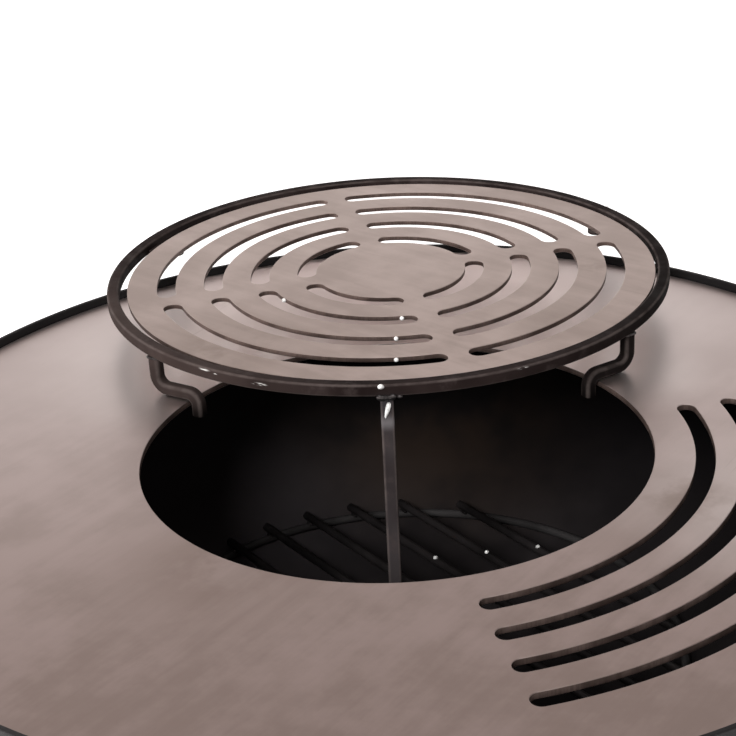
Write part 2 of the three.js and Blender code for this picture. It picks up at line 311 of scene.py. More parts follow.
def cut_edge(name):
    """The wall that a laser leaves: brown oxide with fine upright striations."""
    s = Shader(name)
    lines = s.noise(900, 2, 0.6, (1, 1, 0.02))
    patches = s.noise(35, 3, 0.6)
    colour = s.mix(s.remap(patches, 0.35, 0.65), (0.10, 0.070, 0.060), (0.22, 0.16, 0.14))
    colour = s.mix(s.times(s.remap(lines, 0.4, 0.65), 0.4), colour, (0.06, 0.04, 0.035))
    return s.finish(colour, s.remap(lines, 0.3, 0.7, 0.62, 0.42), s.bump(lines, 0.35, 0.12), 0.75)


def bar_steel(name, dark, light, soot=0.0):
    """Hot-rolled square bar: dark scale, rubbed bright on its corners, pale marks on the ring's front, burnt
    by welding; painted light on the left, painted shade on the right.
    """
    s = Shader(name)
    scale = s.noise(55, 5, 0.65)
    patches = s.noise(13, 3, 0.5)
    colour = s.mix(s.remap(patches, 0.35, 0.65), dark, light)
    colour = s.mix(s.remap(scale, 0.52, 0.7, 0, 0.5), colour, (0.042, 0.032, 0.030))
    # Painted light: the bars are lighter at the left, where the light falls.
    painted_light_left = s.times(s.near(*PAINTED_LIGHT_ON_BARS), s.remap(patches, 0.3, 0.6, 0.5, 1))
    colour = s.mix(painted_light_left, colour, (0.042, 0.030, 0.027))
    # Painted shade: the bars are darker at the right.
    painted_shade_right = s.times(s.near(*PAINTED_SHADE_ON_BARS), s.remap(patches, 0.3, 0.6, 0.6, 1))
    colour = s.mix(painted_shade_right, colour, (0.0035, 0.0022, 0.0020))
    below_plate = s.remap(s.axis("Z"), 0.734, 0.756, soot, 0)
    colour = s.mix(below_plate, colour, (0.0022, 0.0020, 0.0020))
    rub = s.times(s.attribute("wear"), s.remap(scale, 0.3, 0.6, 0.25, 1))
    colour = s.mix(s.times(rub, 0.5), colour, (0.085, 0.069, 0.064))
    heat = s.times(s.near((*POST_HEAD, 762), 8, (0.2, 0.2, 1)), 0.75)
    colour = s.mix(heat, colour, (0.10, 0.093, 0.096))
    burnt = s.near((*POST_HEAD, 777), 11, (0.4, 0.4, 1))
    colour = s.mix(s.times(burnt, 0.5), colour, (0.020, 0.019, 0.022))
    lines = s.noise(160, 2, 0.5, (1, 1, 6))
    for azimuth, reach, height in PALE_RING_MARKS:
        point = on_ring(azimuth, RING_RADIUS, RING_TOP + height)
        mark = s.times(s.near(point, reach, (1, 1, 5)), s.remap(lines, 0.45, 0.56))
        colour = s.mix(mark, colour, (0.55, 0.53, 0.51))
    rough = s.remap(scale, 0.3, 0.7, 0.80, 0.62)
    normal = s.bump(scale, 0.3, 0.12)
    return s.finish(colour, rough, normal, 0.0, 0.06)


def weld_steel(name, tint, metallic=0.95):
    """Weld metal, dulled in patches."""
    s = Shader(name)
    soot = s.noise(150, 3, 0.6)
    colour = s.mix(s.remap(soot, 0.4, 0.66), tint, tuple(c * 0.45 for c in tint))
    return s.finish(colour, s.remap(soot, 0.3, 0.7, 0.3, 0.5), s.bump(soot, 0.25, 0.08), metallic)


def black_paint(name, colour=(0.0075, 0.0068, 0.007), gloss=0.62, brown=0.0, specular=0.22):
    """Satin heat-resistant paint: fine orange peel, dust in its clouds, a little bare metal on edges."""
    s = Shader(name)
    peel = s.noise(420, 2, 0.5)
    clouds = s.noise(7, 4, 0.6)
    dusty = tuple(c * 1.9 for c in colour)
    paint = s.mix(s.remap(clouds, 0.4, 0.7), colour, dusty)
    if brown:
        # A brown patch at the back of the bowl.
        patch = s.times(s.near(*BROWN_PATCH_IN_BOWL), s.remap(clouds, 0.4, 0.6))
        paint = s.mix(s.times(patch, brown), paint, (0.026, 0.017, 0.012))
        # Painted light lifts the bowl's left inside, where little light reaches; painted shade darkens its
        # right.
        paint = s.mix(s.near(*PAINTED_LIGHT_IN_BOWL), paint, (0.046, 0.040, 0.043))
        paint = s.mix(s.near(*PAINTED_SHADE_IN_BOWL), paint, (0.0036, 0.0031, 0.0034))
    chips = s.times(s.attribute("wear"), s.remap(s.noise(90, 3, 0.6), 0.60, 0.68))
    paint = s.mix(s.times(chips, 0.35), paint, (0.10, 0.095, 0.09))
    rough = s.remap(clouds, 0.3, 0.7, gloss + 0.06, gloss - 0.06)
    return s.finish(paint, rough, s.bump(peel, 0.12, 0.08), 0.0, specular)


def sooty_steel(name, dark, light):
    """Rods and socket by the fire: dark scale under soot, with a little rust."""
    s = Shader(name)
    scale = s.noise(120, 4, 0.65)
    patches = s.noise(16, 3, 0.55)
    colour = s.mix(s.remap(patches, 0.35, 0.65), dark, light)
    rust = s.times(s.remap(scale, 0.58, 0.72), s.remap(patches, 0.5, 0.7))
    colour = s.mix(s.times(rust, 0.5), colour, (0.045, 0.020, 0.011))
    return s.finish(colour, s.remap(scale, 0.3, 0.7, 0.62, 0.44), s.bump(scale, 0.3, 0.1), 0.5, 0.2)


def pale_floor(name):
    s = Shader(name)
    shade = s.remap(s.noise(0.7, 2), 0.3, 0.7, 0.0, 1.0)
    colour = s.mix(shade, (0.90, 0.90, 0.895), (0.92, 0.92, 0.915))
    s.surface.inputs["Emission Color"].default_value = (1, 1, 1, 1)
    s.surface.inputs["Emission Strength"].default_value = FLOOR_GLOW
    return s.finish(colour, 0.9, None, 0.0, specular=0.0)


# ---------------------------------------------------------------- mesh tools


def arc(x, y, radius, start, end, steps):
    """Points along an arc; angles in radians, both ends included."""
    angles = [start + (end - start) * i / steps for i in range(steps + 1)]
    return [Vector((x + radius * math.cos(a), y + radius * math.sin(a))) for a in angles]


def circle(radius, sides):
    return arc(0, 0, radius, 0, TAU, sides)[:-1]


def on_ring(azimuth, radius, z):
    angle = math.radians(azimuth)
    return Vector((radius * math.cos(angle), RING_CENTRE_Y + radius * math.sin(angle), z))


def polar(angle, radius, z):
    return Vector((radius * math.cos(angle), radius * math.sin(angle), z))


def turned(repeat, number):
    """Angle of one of the ribs or lugs."""
    return math.radians(repeat["first"] + number * 360 / repeat["count"])


def rounded_section(half_width, half_height, corner):
    """A rectangle's section with round corners, as (u, v, wear) points, with lines that hold its flats."""
    steps = 4
    support = 0.7
    points = []
    for quadrant in range(4):
        start = quadrant * math.pi / 2
        sign_u = 1 if quadrant in (0, 3) else -1
        sign_v = 1 if quadrant in (0, 1) else -1
        u = sign_u * (half_width - corner)
        v = sign_v * (half_height - corner)
        along = Vector((-math.sin(start), math.cos(start)))
        turn = arc(u, v, corner, start, start + math.pi / 2, steps)
        after = Vector((-math.sin(start + math.pi / 2), math.cos(start + math.pi / 2)))
        points.append((*(turn[0] - along * support), 0.0))
        for i, p in enumerate(turn):
            points.append((*p, math.sin(math.pi * i / steps)))
        points.append((*(turn[-1] + after * support), 0.0))
    return points


def new_mesh():
    """A mesh whose points carry how far they are worn."""
    bm = bmesh.new()
    bm.verts.layers.float.new("wear")
    return bm


def add_point(bm, position, wear=0.0):
    vertex = bm.verts.new(Vector(position) * MM)
    vertex[bm.verts.layers.float["wear"]] = wear
    return vertex


def join_rows(bm, first, second, material=0):
    """Faces between two closed rows of points."""
    count = len(first)
    for i in range(count):
        j = (i + 1) % count
        face = bm.faces.new((first[i], first[j], second[j], second[i]))
        face.smooth = True
        face.material_index = material


def turn_profile(bm, profile, sides, centre=(0, 0), closed=True):
    """Turns a profile of (radius, z, wear) points round a vertical axis."""
    rows = []
    for radius, z, wear in profile:
        row = []
        for k in range(sides):
            spot = polar(TAU * k / sides, radius, z) + Vector((*centre, 0))
            row.append(add_point(bm, spot, wear))
        rows.append(row)
    following = rows[1:] + rows[:1] if closed else rows[1:]
    for first, second in zip(rows, following):
        join_rows(bm, first, second)
    bmesh.ops.remove_doubles(bm, verts=bm.verts, dist=1e-7)
    bmesh.ops.dissolve_degenerate(bm, edges=bm.edges, dist=1e-8)


def sweep(bm, path, section, side, bulges=None, chamfer=0.5):
    """Sweeps a section of (u, v, wear) points along a path, with chamfered ends.

    side is the direction of the section's u at the start. bulges says how far a bend swells the section.
    """
    count = len(path)
    half = max(abs(u) for u, v, w in section)
    rows = []
    u_axis = Vector(side).normalized()
    for i, point in enumerate(path):
        tangent = (path[min(i + 1, count - 1)] - path[max(i - 1, 0)]).normalized()
        u_axis = (u_axis - tangent * u_axis.dot(tangent)).normalized()
        v_axis = tangent.cross(u_axis)
        bulge = bulges[i] if bulges else 0.0
        row = []
        for u, v, wear in section:
            wide = v * (1 + bulge * u / half)
            row.append(add_point(bm, point + u_axis * u + v_axis * wide, wear))
        rows.append(row)
        if i in (0, count - 1):
            outward = -tangent if i == 0 else tangent
            small = 1 - chamfer / half
            end = []
            for u, v, wear in section:
                spot = point + u_axis * u * small + v_axis * v * small + outward * chamfer
                end.append(add_point(bm, spot, 0.6))
            join_rows(bm, end, row)
            bm.faces.new(end)
    for first, second in zip(rows, rows[1:]):
        join_rows(bm, first, second)


def loop_offsets(loop, inward):
    """For each point of a closed loop, the unit direction into the material."""
    count = len(loop)
    area = sum(a.x * b.y - b.x * a.y for a, b in zip(loop, loop[1:] + loop[:1]))
    side = (1 if area > 0 else -1) * (1 if inward else -1)
    directions = []
    for i in range(count):
        tangent = (loop[(i + 1) % count] - loop[i - 1]).normalized()
        directions.append(Vector((-tangent.y, tangent.x)) * side)
    return directions


def cut_sheet(bm, outline, holes, bottom, top, bevel=0.5, centre=(0, 0), turn=0.0, wall=1, under=0):
    """A flat sheet with rounded cut edges.

    wall and under are the material slots of its cut walls and of its underside.
    """
    steps = 3
    caps = {"top": [], "bottom": []}
    for number, loop in enumerate([outline, *holes]):
        inward = loop_offsets(loop, number == 0)
        rows = []
        levels = [("top", i) for i in range(steps + 1)] + [("bottom", i) for i in range(steps, -1, -1)]
        for face, i in levels:
            angle = math.pi / 2 * i / steps
            inset = bevel * (1 - math.sin(angle))
            fall = bevel * (1 - math.cos(angle))
            z = top - fall if face == "top" else bottom + fall
            wear = 1.0 if face == "top" and 0 < i else 0.3
            row = []
            for point, direction in zip(loop, inward):
                spot = (point + direction * inset).to_3d()
                spot.z = z
                spot = Matrix.Rotation(turn, 3, "Z") @ spot + Vector((*centre, 0))
                row.append(add_point(bm, spot, wear))
            rows.append(row)
        for k, (first, second) in enumerate(zip(rows, rows[1:])):
            join_rows(bm, first, second, material=wall if k == steps else 0)
        caps["top"].append(rows[0])
        caps["bottom"].append(rows[-1])
    for side, loops in caps.items():
        edges = []
        for row in loops:
            for a, b in zip(row, row[1:] + row[:1]):
                edges.append(bm.edges.get((a, b)))
        filled = bmesh.ops.triangle_fill(bm, use_beauty=True, use_dissolve=False, edges=edges)
        for item in filled["geom"]:
            if isinstance(item, bmesh.types.BMFace):
                item.smooth = False
                item.material_index = under if side == "bottom" else 0


def slot_loop(radius, width, start, end):
    """Outline of a curved slot with round ends."""
    chord = 3.0
    end_steps = 14
    half = width / 2
    steps = max(6, math.ceil(radius * (end - start) / chord))
    tip = polar(end, radius, 0)
    tail = polar(start, radius, 0)
    return [
        *arc(0, 0, radius + half, start, end, steps),
        *arc(tip.x, tip.y, half, end, end + math.pi, end_steps)[1:-1],
        *arc(0, 0, radius - half, end, start, steps),
        *arc(tail.x, tail.y, half, start - math.pi, start, end_steps)[1:-1],
    ]


def bead(bm, path, radius, closed=False, pitch=2.2, wobble=0.06):
    """A weld bead: a run of overlapping scales along a path."""
    sides = 10
    points = list(path) + ([path[0]] if closed else [])
    lengths = [0.0]
    for a, b in zip(points, points[1:]):
        lengths.append(lengths[-1] + (b - a).length)
    total = lengths[-1]
    ripples = max(2, round(total / pitch))
    count = ripples * 4
    rows = []
    segment = 0
    swing = [1 + dice.uniform(-wobble, wobble) for _ in range(ripples + 1)]
    steps = count if closed else count + 1
    spots = []
    for i in range(steps):
        along = total * i / count
        while segment < len(lengths) - 2 and lengths[segment + 1] < along:
            segment += 1
        share = (along - lengths[segment]) / max(lengths[segment + 1] - lengths[segment], 1e-6)
        spots.append(points[segment].lerp(points[segment + 1], share))
    side = None
    for i, spot in enumerate(spots):
        if closed:
            tangent = (spots[(i + 1) % steps] - spots[i - 1]).normalized()
        else:
            tangent = (spots[min(i + 1, steps - 1)] - spots[max(i - 1, 0)]).normalized()
        if side is None:
            side = tangent.cross(Vector((0, 0, 1)))
            if side.length < 0.3:
                side = tangent.cross(Vector((0, 1, 0)))
            side = side.normalized()
        side = (side - tangent * side.dot(tangent)).normalized()
        up = tangent.cross(side)
        phase = (i % 4) / 4
        scale = i // 4 % ripples if closed else i // 4
        size = radius * (0.84 + 0.2 * math.sin(math.pi * phase)) * swing[scale]
        if not closed:
            nearest = min(i, steps - 1 - i) / 4
            if nearest < 1:
                size *= math.sqrt(max(0.02, 1 - (1 - nearest) ** 2))
        row = []
        for k in range(sides):
            angle = TAU * k / sides
            spot_k = spot + side * size * math.cos(angle) + up * size * math.sin(angle)
            row.append(add_point(bm, spot_k, phase))
        rows.append(row)
    for first, second in zip(rows, rows[1:]):
        join_rows(bm, first, second)
    if closed:
        join_rows(bm, rows[-1], rows[0])
    else:
        bm.faces.new(rows[0])
        bm.faces.new(rows[-1])


def ring_bead(bm, radius, z, size, count, pitch=4.5):
    """A bead all round the pit's axis."""
    ring = [polar(TAU * k / count, radius, z) for k in range(count)]
    bead(bm, ring, size, closed=True, pitch=pitch)


def drop(bm, centre, radii):
    """A small solidified drop of metal, an ellipsoid."""
    size = Matrix.Diagonal((*[r * MM for r in radii], 1))
    place = Matrix.Translation(Vector(centre) * MM) @ size
    made = bmesh.ops.create_uvsphere(bm, u_segments=20, v_segments=12, radius=1, matrix=place)
    for vertex in made["verts"]:
        for face in vertex.link_faces:
            face.smooth = True


def make_piece(name, bm, body, materials, nodes=()):
    """Turns a finished bmesh into a piece that rides on a body."""
    bmesh.ops.recalc_face_normals(bm, faces=bm.faces)
    mesh = bpy.data.meshes.new(name)
    bm.to_mesh(mesh)
    bm.free()
    for material in materials:
        mesh.materials.append(material)
    piece = bpy.data.objects.new(name, mesh)
    bpy.context.scene.collection.objects.link(piece)
    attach(piece, body)
    if nodes:
        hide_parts(*nodes)
    return piece


# ---------------------------------------------------------------- pedestal and bowl


def build_pedestal(paint):
    bm = new_mesh()
    profile = [(0, 0, 0), (BASE_RADIUS - 1, 0, 0), (BASE_RADIUS, 1, 0.8), (BASE_RADIUS, BASE_TOP - 1, 0.8)]
    profile += [(BASE_RADIUS - 1, BASE_TOP, 0.8), (BASE_RADIUS - 2, BASE_TOP, 0), (0, BASE_TOP, 0)]
    turn_profile(bm, profile, 192, closed=False)
    make_piece("base_disc", bm, "base", [paint], ["base_plate"])

    bm = new_mesh()
    inner = TUBE_RADIUS - WALL
    profile = [(inner, BASE_TOP + SEAM, 0), (TUBE_RADIUS, BASE_TOP + SEAM, 0)]
    profile += [(TUBE_RADIUS, BASE_TOP + 60, 0), (TUBE_RADIUS, TUBE_TOP - 60, 0), (TUBE_RADIUS, TUBE_TOP, 0)]
    profile += [(inner, TUBE_TOP, 0), (inner, BASE_TOP + 60, 0)]
    turn_profile(bm, profile, 144)
    make_piece("pedestal_pipe", bm, "base", [paint], ["pedestal_tube"])

    for i in range(RIB["count"]):
        bm = new_mesh()
        angle = turned(RIB, i)
        build_rib(bm, angle)
        make_piece(f"base_gusset_{i + 1}", bm, "base", [paint], [f"base_rib_{i + 1}"])

    bm = new_mesh()
    ring_bead(bm, TUBE_RADIUS + 1, BASE_TOP + 1.2, 3.0, 120)
    ring_bead(bm, TUBE_RADIUS + 0.6, TUBE_TOP - 0.4, 2.8, 120)
    for i in range(RIB["count"]):
        angle = turned(RIB, i)
        for side in (-1, 1):
            offset = polar(angle + math.pi / 2, side * (RIB["thickness"] / 2 + 0.8), 0)
            foot = BASE_TOP + 1.1
            path = [
                polar(angle, TUBE_RADIUS + RIB["length"] - 2, foot) + offset,
                polar(angle, TUBE_RADIUS + 5, foot) + offset,
                polar(angle, TUBE_RADIUS + 2, foot + 4) + offset,
                polar(angle, TUBE_RADIUS + 1, BASE_TOP + RIB["height"] - 2) + offset,
            ]
            bead(bm, path, 2.0, pitch=3.6)
    make_piece("pedestal_welds", bm, "base", [paint])


def build_rib(bm, angle):
    """A triangular gusset, cut from sheet and turned upright."""
    length, height, nose = RIB["length"], RIB["height"], RIB["nose"]
    outline = [(SEAM, SEAM), (length, SEAM), (length, nose), (nose, height), (SEAM, height)]
    loop = []
    for a, b in zip(outline, outline[1:] + outline[:1]):
        loop += [Vector(a).lerp(Vector(b), share) for share in (0.02, 0.5, 0.98)]
    half = RIB["thickness"] / 2
    cut_sheet(bm, loop, [], -half, half, bevel=0.6, wall=0)
    upright = Matrix.Rotation(math.pi / 2, 4, "X")
    move = Matrix.Translation(Vector((TUBE_RADIUS, 0, BASE_TOP)) * MM)
    bmesh.ops.transform(bm, matrix=Matrix.Rotation(angle, 4, "Z") @ move @ upright, verts=bm.verts)


def build_bowl(paint, inside_paint):
    steps = 40
    bm = new_mesh()
    edge = math.asin((COLLAR_OUTSIDE - WALL - 0.2) / DISH_RADIUS)
    profile = []
    for i in range(steps + 1):
        angle = edge * i / steps
        z = DISH_BOTTOM + WALL + DISH_RADIUS - (DISH_RADIUS + WALL) * math.cos(angle)
        profile.append(((DISH_RADIUS + WALL) * math.sin(angle), min(z, DISH_RIM), 0))
    outer_edge = profile[-1][0]
    profile[-1] = (outer_edge, DISH_RIM - 0.6, 0.5)
    profile.append((outer_edge - 0.6, DISH_RIM, 0.5))
    for i in range(steps, -1, -1):
        angle = edge * i / steps
        z = DISH_BOTTOM + WALL + DISH_RADIUS - DISH_RADIUS * math.cos(angle)
        profile.append((DISH_RADIUS * math.sin(angle), min(z, DISH_RIM), 0))
    turn_profile(bm, profile, 192, closed=False)
    make_piece("dish_shell", bm, "base", [inside_paint], ["bowl_dish"])

    bm = new_mesh()
    middle = (COLLAR_TOP + COLLAR_BOTTOM) / 2
    section = rounded_section(WALL / 2, (COLLAR_TOP - COLLAR_BOTTOM) / 2, 0.8)
    profile = [(COLLAR_OUTSIDE - WALL / 2 + u, middle + v, w) for u, v, w in section]
    turn_profile(bm, profile, 256)
    make_piece("collar_band", bm, "base", [paint], ["bowl_collar"])

    bm = new_mesh()
    inner = COLLAR_OUTSIDE - WALL
    ring_bead(bm, inner - 0.4, COLLAR_BOTTOM, 2.2, 180)
    ring_bead(bm, COLLAR_OUTSIDE - 0.9, COLLAR_BOTTOM, 1.7, 180)
    for i in range(LUG["count"]):
        angle = turned(LUG, i)
        half = LUG["width"] / 2
        z = PLATE_BOTTOM - SEAM - LUG["thickness"] - 0.4
        across = polar(angle + math.pi / 2, 1, 0)
        reach = math.sqrt(inner**2 - half**2) - 0.8
        path = [polar(angle, reach, z) + across * half * share for share in (-0.95, -0.5, 0, 0.5, 0.95)]
        bead(bm, path, 2.2, pitch=3)
    make_piece("bowl_welds", bm, "base", [paint])

    for i in range(LUG["count"]):
        bm = new_mesh()
        angle = turned(LUG, i)
        half, corner, inner_end = LUG["width"] / 2, LUG["corner"], LUG["inner"]
        outline = [Vector((LUG["outer"] - 0.6, y)) for y in (-half, -half / 2, 0, half / 2, half)]
        outline += arc(inner_end + corner, half - corner, corner, math.pi / 2, math.pi, 8)
        outline += arc(inner_end + corner, corner - half, corner, math.pi, 1.5 * math.pi, 8)
        top = PLATE_BOTTOM - SEAM
        cut_sheet(bm, outline, [], top - LUG["thickness"], top, turn=angle, wall=0)
        make_piece(f"lug_{i + 1}", bm, "base", [paint], [f"plate_lug_{i + 1}"])


def build_socket(sooty, dark_weld):
    bm = new_mesh()
    middle = (SOCKET_TOP + SOCKET_FOOT) / 2
    section = rounded_section(SOCKET_WALL / 2, (SOCKET_TOP - SOCKET_FOOT) / 2, 0.6)
    profile = [(SOCKET_RADIUS - SOCKET_WALL / 2 + u, middle + v, w) for u, v, w in section]
    turn_profile(bm, profile, 64)
    make_piece("socket_pipe", bm, "base", [sooty], ["pivot_socket"])
    bm = new_mesh()
    ring_bead(bm, SOCKET_RADIUS + 0.9, SOCKET_FOOT + 1, 2.2, 40, pitch=3)
    make_piece("socket_weld", bm, "base", [dark_weld])


# ---------------------------------------------------------------- plate and grill


def build_plate(face, edge):
    slots = []
    for i in range(PLATE_SLOTS["count"]):
        radius = PLATE_SLOTS["first"] + i * PLATE_SLOTS["pitch"]
        round_end = PLATE_SLOTS["width"] / 2 / radius
        start = math.radians(PLATE_SLOTS["from"]) + round_end
        end = math.radians(PLATE_SLOTS["to"]) - round_end
        slots.append(slot_loop(radius, PLATE_SLOTS["width"], start, end))
    bm = new_mesh()
    holes = [circle(HOLE_RADIUS, 360), *slots]
    cut_sheet(bm, circle(PLATE_RADIUS, 360), holes, PLATE_BOTTOM, PLATE_TOP, bevel=0.45)
    make_piece("plate_sheet", bm, "plate", [face, edge], ["cooking_plate"])


def build_disc(face, edge, underside, painted_glint_weld):
    slots = []
    quarter = TAU / DISC_SLOTS["spokes"]
    for ring in range(DISC_SLOTS["rings"]):
        radius = DISC_SLOTS["first"] + ring * DISC_SLOTS["pitch"]
        margin = math.asin((DISC_SLOTS["spoke"] / 2 + DISC_SLOTS["width"] / 2) / radius)
        for spoke in range(DISC_SLOTS["spokes"]):
            start = math.radians(DISC_SLOTS["turn"]) + spoke * quarter
            slots.append(slot_loop(radius, DISC_SLOTS["width"], start + margin, start + quarter - margin))
    bm = new_mesh()
    centre = (DISC_CENTRE.x, DISC_CENTRE.y)
    cut_sheet(bm, circle(DISC_RADIUS, 360), slots, DISC_BOTTOM, DISC_TOP, bevel=0.4, centre=centre, under=2)
    make_piece("disc_sheet", bm, "disc", [face, edge, underside], ["grill_disc"])

    bm = new_mesh()
    for ring, azimuth in DISC_GLINT_DROPS:
        wall = DISC_SLOTS["first"] + ring * DISC_SLOTS["pitch"] - DISC_SLOTS["width"] / 2
        spot = polar(math.radians(azimuth), wall + 0.7, DISC_TOP - 2.1) + Vector((*centre, 0))
        drop(bm, spot, (1.9, 1.9, 1.8))
    make_piece("disc_glint_drops", bm, "disc", [painted_glint_weld])


def build_ring(steel):
    bm = new_mesh()
    section = rounded_section(BAR / 2, BAR / 2, BAR_CORNER)
    middle = (RING_TOP + RING_BOTTOM) / 2
    profile = [(RING_RADIUS - BAR / 2 + u, middle + v, w) for u, v, w in section]
    turn_profile(bm, profile, 320, centre=(0, RING_CENTRE_Y))
    make_piece("ring_bar", bm, "riser", [steel], ["riser_ring"])


def fillet_path(corners, bends):
    """A path of straight runs and round bends: its points, and how far the bar swells at each."""
    step = 1.6
    points = [corners[0]]
    bulges = [0.0]
    for before, corner, after, (radius, swell) in zip(corners, corners[1:], corners[2:], bends):
        inward = (before - corner).normalized()
        outward = (after - corner).normalized()
        angle = inward.angle(outward)
        setback = radius / math.tan(angle / 2)
        start = corner + inward * setback
        centre = corner + (inward + outward).normalized() * radius / math.sin(angle / 2)
        arm = start - centre
        turn = math.pi - angle
        axis = (start - centre).cross(corner + outward * setback - centre).normalized()
        count = max(8, math.ceil(radius * turn / step))
        points += [points[-1].lerp(start, 0.5), start + inward * 3]
        bulges += [0.0, 0.0]
        for i in range(count + 1):
            share = i / count
            points.append(centre + Matrix.Rotation(turn * share, 3, axis) @ arm)
            bulges.append(swell * math.sin(math.pi * share))
        points.append(corner + outward * (setback + 3))
        bulges.append(0.0)
    points.append(corners[-1])
    bulges.append(0.0)
    return points, bulges


def leg_head():
    """Where the right leg meets the ring, as x and y. The left one is its mirror image."""
    spread = math.radians(LEG_SPREAD)
    middle = RING_RADIUS - BAR / 2
    return middle * math.sin(spread), RING_CENTRE_Y - middle * math.cos(spread)


def build_legs(steel):
    section = rounded_section(BAR / 2, BAR / 2, LEG_CORNER)
    x, y = leg_head()
    heel = math.hypot(x, y)
    hook = HOLE_RADIUS - HOOK_CLEARANCE - BAR / 2
    foot = PLATE_TOP + SEAM + BAR / 2
    for side, angle in (("left", math.atan2(y, -x)), ("right", math.atan2(y, x))):
        stations = [
            polar(angle, heel, RING_BOTTOM - 0.6),
            polar(angle, heel, foot),
            polar(angle, hook, foot),
            polar(angle, hook, PLATE_TOP - HOOK_DEPTH + 0.5),
        ]
        path, bulges = fillet_path(stations, [(HEEL_BEND, -0.09), (HOOK_BEND, 0.09)])
        bm = new_mesh()
        sweep(bm, path, section, polar(angle, 1, 0), bulges)
        make_piece(f"leg_{side}", bm, "riser", [steel], [f"riser_leg_{side}"])


def build_post(steel):
    section = rounded_section(BAR / 2, BAR / 2, BAR_CORNER)
    foot = lowest("riser_post").z + 0.5
    corners = [
        Vector((*POST_FOOT, foot)),
        Vector((*POST_FOOT, foot + POST_STRAIGHT)),
        Vector((*POST_HEAD, RING_BOTTOM - 1.2)),
    ]
    path, bulges = fillet_path(corners, [(POST_BEND, 0)])
    bm = new_mesh()
    sweep(bm, path, section, (1, 0, 0), bulges)
    make_piece("post_bar", bm, "riser", [steel], ["riser_post"])


def build_tabs(steel):
    half = TAB["width"] / 2
    inner = RING_RADIUS - BAR
    root = math.sqrt(inner**2 - half**2)
    for i, azimuth in enumerate(TAB["angles"]):
        bm = new_mesh()
        outline = [Vector((root, y)) for y in (-half, -half / 2, 0, half / 2, half)]
        outline += [Vector((TAB["tip"] + half + 8, half))]
        outline += arc(TAB["tip"] + half, 0, half, math.pi / 2, 1.5 * math.pi, 24)
        outline += [Vector((TAB["tip"] + half + 8, -half))]
        top = RING_BOTTOM + TAB["thickness"]
        angle = math.radians(azimuth)
        centre = (0, RING_CENTRE_Y)
        cut_sheet(bm, outline, [], RING_BOTTOM, top, bevel=0.4, centre=centre, turn=angle, wall=0)
        make_piece(f"tab_{i + 1}", bm, "riser", [steel], [f"disc_tab_{i + 1}"])


def around_bar(centre, angle, half):
    """A closed path round a square bar's end."""
    corner = BAR_CORNER
    loop = []
    for quadrant in range(4):
        start = quadrant * math.pi / 2
        u = (half - corner) * (1 if quadrant in (0, 3) else -1)
        v = (half - corner) * (1 if quadrant in (0, 1) else -1)
        loop += arc(u, v, corner, start, start + math.pi / 2, 4)
    turn = Matrix.Rotation(angle, 3, "Z")
    return [Vector(centre) + turn @ p.to_3d() for p in loop]


def build_riser_welds(dark_weld, painted_glint_weld):
    bm = new_mesh()
    x, y = leg_head()
    for side in (-1, 1):
        centre = (side * x, y, RING_BOTTOM - 0.6)
        bead(bm, around_bar(centre, math.atan2(y, side * x), BAR / 2 - 0.1), 1.0, closed=True, pitch=1.8)
    post_end = around_bar((*POST_HEAD, RING_BOTTOM - 0.6), 0, BAR / 2 + 0.4)
    bead(bm, post_end, 2.0, closed=True, pitch=3, wobble=0.16)
    for azimuth in TAB["angles"]:
        half = TAB["width"] / 2
        path = []
        for share in (-0.9, -0.45, 0, 0.45, 0.9):
            tilt = math.degrees(math.asin(half * share / (RING_RADIUS - BAR)))
            path.append(on_ring(azimuth + tilt, RING_RADIUS - BAR - 0.6, RING_BOTTOM + 0.4))
        bead(bm, path, 1.6, pitch=2.6)
    front = POST_HEAD[1] - BAR / 2
    drop(bm, (POST_HEAD[0] - 5.2, front - 0.4, RING_BOTTOM - 0.2), (2.6, 2.3, 2.4))
    drop(bm, (POST_HEAD[0] + 4.6, front - 0.3, RING_BOTTOM + 0.2), (2.9, 2.2, 2.2))
    drop(bm, (POST_HEAD[0] + 9.5, front + 0.8, RING_BOTTOM - 0.4), (2.4, 1.8, 1.5))
    make_piece("riser_welds", bm, "riser", [dark_weld])

    bm = new_mesh()
    stack = []
    for shift, z, size in POST_GLINT_RUN:
        share = (RING_BOTTOM - z) / (RING_BOTTOM - POST_RAKE["bend_z"])
        face = front - POST_RAKE["back"] * share + 0.15
        stack.append((Vector((POST_HEAD[0] + shift, face, z)), size))
    build_run(bm, stack)
    for azimuth, size in RING_GLINT_DROPS:
        drop(bm, on_ring(azimuth, RING_RADIUS - 1.0, RING_TOP - size[2]), size)
    make_piece("riser_welds_with_painted_glint", bm, "riser", [painted_glint_weld])


def build_run(bm, stack):
    """A weld run that ran down a face: round sections of changing size along a line."""
    sides = 16
    flatness = 0.8
    rows = []
    for position, size in stack:
        row = []
        for k in range(sides):
            angle = TAU * k / sides
            around = Vector((math.cos(angle), flatness * math.sin(angle), 0))
            row.append(add_point(bm, position + around * size))
        rows.append(row)
    for first, second in zip(rows, rows[1:]):
        join_rows(bm, first, second)
    for row, (position, size), sign in ((rows[0], stack[0], 1), (rows[-1], stack[-1], -1)):
        small = []
        for k in range(sides):
            angle = TAU * k / sides
            around = Vector((math.cos(angle), flatness * math.sin(angle), 0)) * 0.6
            small.append(add_point(bm, position + around * size + Vector((0, 0, sign * size * 0.75))))
        join_rows(bm, row, small)
        bm.faces.new(small)


# ---------------------------------------------------------------- fire grate


def rod_offset(number):
    """How far a rod lies to the side of the grate's middle."""
    return (number - (FIRE_BARS - 1) / 2) * FIRE_BAR_PITCH + FIRE_BAR_SHIFT


